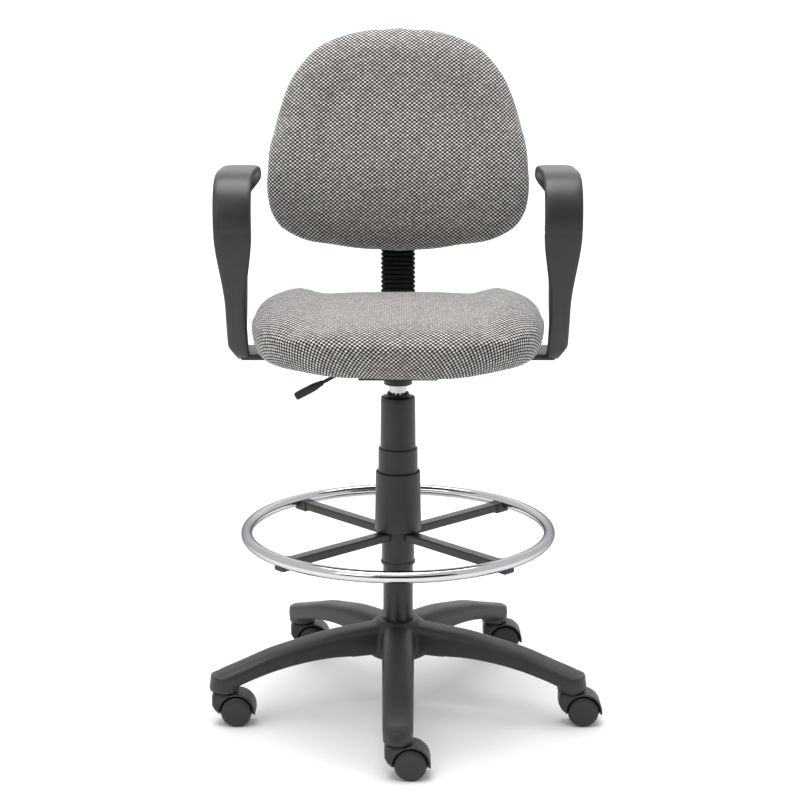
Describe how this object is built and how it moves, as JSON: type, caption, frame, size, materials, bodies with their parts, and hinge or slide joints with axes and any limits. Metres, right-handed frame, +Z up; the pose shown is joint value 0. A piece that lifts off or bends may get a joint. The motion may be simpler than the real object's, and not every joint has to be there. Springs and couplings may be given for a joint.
{
  "type": "drafting chair",
  "caption": "Drafting chair with padded tweed seat and back, loop arms, gas lift with telescoping cover, chrome foot ring and star base on twin-wheel casters.",
  "frame": {"origin": "middle of the chair's footprint at floor level; the column axis stands 11 mm to its -X side and 5 mm to its +Y side", "axes": "+Z up, the sitter faces -Y, +X to the right of a viewer who faces the chair"},
  "size_m": [0.6387, 0.6284, 1.1045],
  "materials": {
    "nylon": "moulded black nylon, satin",
    "black_enamel": "black powder coat",
    "cover_plastic": "moulded black, fine texture",
    "chrome": "polished chrome plate",
    "steel": "plain steel",
    "acetal": "natural acetal",
    "rubber": "soft black moulded boot",
    "plywood": "moulded plywood",
    "tweed": "grey tweed weave over foam",
    "polypropylene": "moulded black polypropylene, fine grain"
  },
  "bodies": {
    "base": {"five_star_base": "nylon", "column_tube": "black_enamel", "guide_bush": "acetal", "thrust_bearing": "steel", "rod_clip": "steel", "cover_lower": "cover_plastic"},
    "ring": {"foot_ring": "chrome", "ring_hub": "black_enamel", "ring_saddle_1": "nylon", "ring_saddle_2": "nylon", "ring_saddle_3": "nylon", "ring_saddle_4": "nylon"},
    "ring_knob": {"ring_knob": "nylon"},
    "cover_middle": {"cover_middle": "cover_plastic"},
    "piston": {"piston_rod": "chrome"},
    "seat": {"gas_cylinder": "chrome", "cover_upper": "cover_plastic", "mechanism_housing": "black_enamel", "lever_pin": "steel", "seat_board": "plywood", "seat_cushion": "tweed", "left_arm": "polypropylene", "right_arm": "polypropylene"},
    "valve": {"valve_button": "steel"},
    "lever": {"lift_lever": "black_enamel", "lift_handle": "nylon"},
    "back_bar": {"back_bar": "black_enamel", "bellows": "rubber"},
    "depth_knob": {"depth_knob": "nylon"},
    "back": {"back_cushion": "tweed", "back_board": "plywood", "back_shell": "polypropylene", "back_bracket": "nylon"},
    "height_knob": {"height_knob": "nylon"},
    "caster_1": {"caster_1_hood": "nylon", "caster_1_stem": "steel", "caster_1_axle": "steel"},
    "caster_1_wheel_front": {"caster_1_wheel_front": "nylon"},
    "caster_1_wheel_rear": {"caster_1_wheel_rear": "nylon"},
    "caster_2": {"caster_2_hood": "nylon", "caster_2_stem": "steel", "caster_2_axle": "steel"},
    "caster_2_wheel_front": {"caster_2_wheel_front": "nylon"},
    "caster_2_wheel_rear": {"caster_2_wheel_rear": "nylon"},
    "caster_3": {"caster_3_hood": "nylon", "caster_3_stem": "steel", "caster_3_axle": "steel"},
    "caster_3_wheel_front": {"caster_3_wheel_front": "nylon"},
    "caster_3_wheel_rear": {"caster_3_wheel_rear": "nylon"},
    "caster_4": {"caster_4_hood": "nylon", "caster_4_stem": "steel", "caster_4_axle": "steel"},
    "caster_4_wheel_front": {"caster_4_wheel_front": "nylon"},
    "caster_4_wheel_rear": {"caster_4_wheel_rear": "nylon"},
    "caster_5": {"caster_5_hood": "nylon", "caster_5_stem": "steel", "caster_5_axle": "steel"},
    "caster_5_wheel_front": {"caster_5_wheel_front": "nylon"},
    "caster_5_wheel_rear": {"caster_5_wheel_rear": "nylon"}
  },
  "joints": [
    {"name": "ring_height", "type": "slide", "parent": "base", "child": "ring", "axis": [0, 0, 1], "range_m": [-0.085, 0]},
    {"name": "ring_knob_turn", "type": "hinge", "parent": "ring", "child": "ring_knob", "pos_m": [-0.011, 0.045, 0.26], "axis": [0, 1, 0], "range_deg": [0, 360]},
    {"name": "cover_middle_slide", "type": "slide", "parent": "base", "child": "cover_middle", "axis": [0, 0, 1], "range_m": [0, 0.0635]},
    {"name": "seat_swivel", "type": "hinge", "parent": "base", "child": "piston", "pos_m": [-0.011, 0.005, 0.092], "axis": [0, 0, 1], "continuous": true},
    {"name": "seat_lift", "type": "slide", "parent": "piston", "child": "seat", "axis": [0, 0, 1], "range_m": [0, 0.127]},
    {"name": "lever_pull", "type": "hinge", "parent": "seat", "child": "lever", "pos_m": [-0.051, 0.005, 0.59], "axis": [0, 1, 0], "range_deg": [0, 6], "stiffness_Nm_per_rad": 3, "springref_deg": -8.59},
    {"name": "valve_press", "type": "slide", "parent": "seat", "child": "valve", "axis": [0, 0, 1], "range_m": [-0.0045, 0]},
    {"name": "back_depth", "type": "slide", "parent": "seat", "child": "back_bar", "axis": [0, 1, 0], "range_m": [-0.01, 0.025]},
    {"name": "depth_knob_turn", "type": "hinge", "parent": "seat", "child": "depth_knob", "pos_m": [-0.011, 0.115, 0.548], "axis": [0, 0, 1], "range_deg": [0, 360]},
    {"name": "back_height", "type": "slide", "parent": "back_bar", "child": "back", "axis": [0, 0.1392, 0.9903], "range_m": [-0.045, 0], "deforming": ["bellows"]},
    {"name": "height_knob_turn", "type": "hinge", "parent": "back", "child": "height_knob", "pos_m": [-0.011, 0.30395, 0.79638], "axis": [0, 0.9903, -0.1392], "range_deg": [0, 360]},
    {"name": "caster_1_swivel", "type": "hinge", "parent": "base", "child": "caster_1", "pos_m": [-0.011, -0.29, 0.06], "axis": [0, 0, 1], "continuous": true},
    {"name": "caster_1_roll_front", "type": "hinge", "parent": "caster_1", "child": "caster_1_wheel_front", "pos_m": [0.008, -0.29, 0.025], "axis": [0, 1, 0], "continuous": true},
    {"name": "caster_1_roll_rear", "type": "hinge", "parent": "caster_1", "child": "caster_1_wheel_rear", "pos_m": [0.008, -0.29, 0.025], "axis": [0, 1, 0], "continuous": true},
    {"name": "caster_2_swivel", "type": "hinge", "parent": "base", "child": "caster_2", "pos_m": [0.26956, -0.08616, 0.06], "axis": [0, 0, 1], "continuous": true},
    {"name": "caster_2_roll_front", "type": "hinge", "parent": "caster_2", "child": "caster_2_wheel_front", "pos_m": [0.28856, -0.08616, 0.025], "axis": [0, 1, 0], "continuous": true},
    {"name": "caster_2_roll_rear", "type": "hinge", "parent": "caster_2", "child": "caster_2_wheel_rear", "pos_m": [0.28856, -0.08616, 0.025], "axis": [0, 1, 0], "continuous": true},
    {"name": "caster_3_swivel", "type": "hinge", "parent": "base", "child": "caster_3", "pos_m": [0.1624, 0.24366, 0.06], "axis": [0, 0, 1], "continuous": true},
    {"name": "caster_3_roll_front", "type": "hinge", "parent": "caster_3", "child": "caster_3_wheel_front", "pos_m": [0.1814, 0.24366, 0.025], "axis": [0, 1, 0], "continuous": true},
    {"name": "caster_3_roll_rear", "type": "hinge", "parent": "caster_3", "child": "caster_3_wheel_rear", "pos_m": [0.1814, 0.24366, 0.025], "axis": [0, 1, 0], "continuous": true},
    {"name": "caster_4_swivel", "type": "hinge", "parent": "base", "child": "caster_4", "pos_m": [-0.1844, 0.24366, 0.06], "axis": [0, 0, 1], "continuous": true},
    {"name": "caster_4_roll_front", "type": "hinge", "parent": "caster_4", "child": "caster_4_wheel_front", "pos_m": [-0.1654, 0.24366, 0.025], "axis": [0, 1, 0], "continuous": true},
    {"name": "caster_4_roll_rear", "type": "hinge", "parent": "caster_4", "child": "caster_4_wheel_rear", "pos_m": [-0.1654, 0.24366, 0.025], "axis": [0, 1, 0], "continuous": true},
    {"name": "caster_5_swivel", "type": "hinge", "parent": "base", "child": "caster_5", "pos_m": [-0.29156, -0.08616, 0.06], "axis": [0, 0, 1], "continuous": true},
    {"name": "caster_5_roll_front", "type": "hinge", "parent": "caster_5", "child": "caster_5_wheel_front", "pos_m": [-0.27256, -0.08616, 0.025], "axis": [0, 1, 0], "continuous": true},
    {"name": "caster_5_roll_rear", "type": "hinge", "parent": "caster_5", "child": "caster_5_wheel_rear", "pos_m": [-0.27256, -0.08616, 0.025], "axis": [0, 1, 0], "continuous": true}
  ],
  "couplings": [
    {"joint": "cover_middle_slide", "follows": "seat_lift", "ratio": 0.5},
    {"joint": "valve_press", "follows": "lever_pull", "m_per_rad": -0.04}
  ]
}
